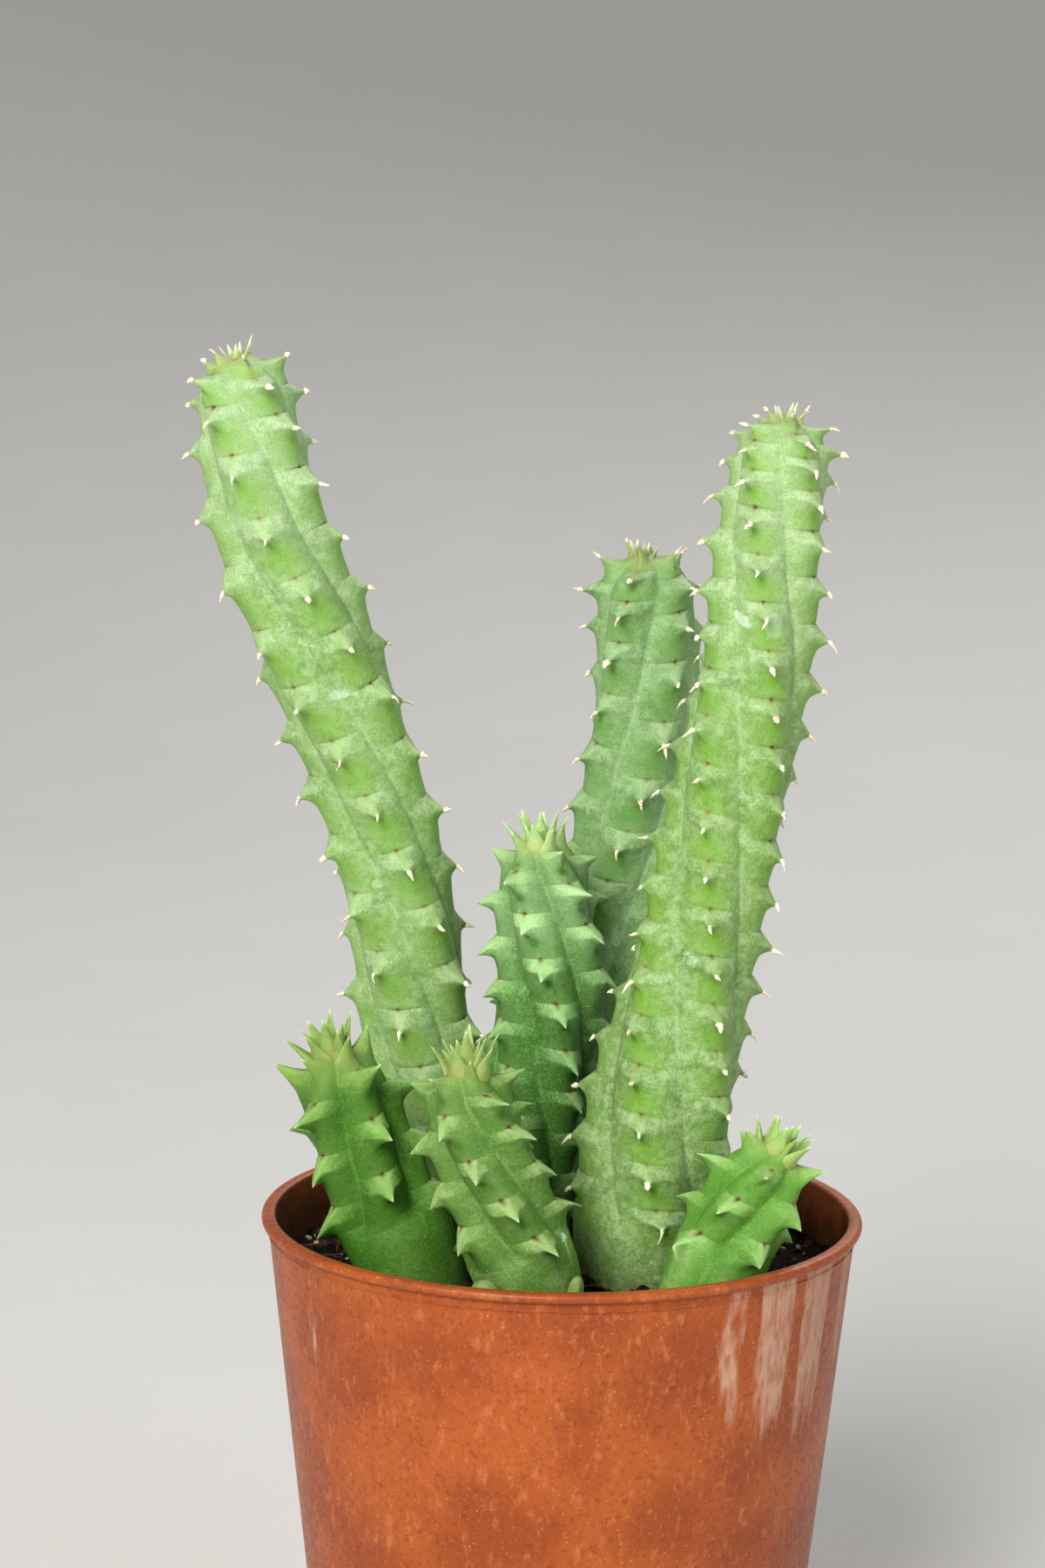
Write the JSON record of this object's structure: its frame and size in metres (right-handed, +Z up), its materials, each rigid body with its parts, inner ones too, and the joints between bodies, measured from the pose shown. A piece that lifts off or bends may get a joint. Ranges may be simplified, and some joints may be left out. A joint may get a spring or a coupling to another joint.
{
  "type": "potted huernia",
  "caption": "Clump of upright ribbed succulent stems with toothed ribs, standing in compost in a small tapered plastic nursery pot.",
  "frame": {"origin": "centre of the pot's flat underside", "axes": "+Z up, -Y towards the front of the plant as pictured, +X to its right"},
  "size_m": [0.0624, 0.0548, 0.1282],
  "materials": {
    "pot_plastic": "satin",
    "compost": "matte",
    "old_stem": "satin",
    "young_stem": "satin",
    "dry_tip": "matte"
  },
  "bodies": {
    "root": {"pot": "pot_plastic", "compost": "compost", "stem_tall_left": "old_stem", "stem_tall_right": "old_stem", "stem_back": "old_stem", "stem_middle": "young_stem", "stem_short_left": "young_stem", "stem_short_front": "young_stem", "stem_short_right": "young_stem"}
  },
  "joints": []
}
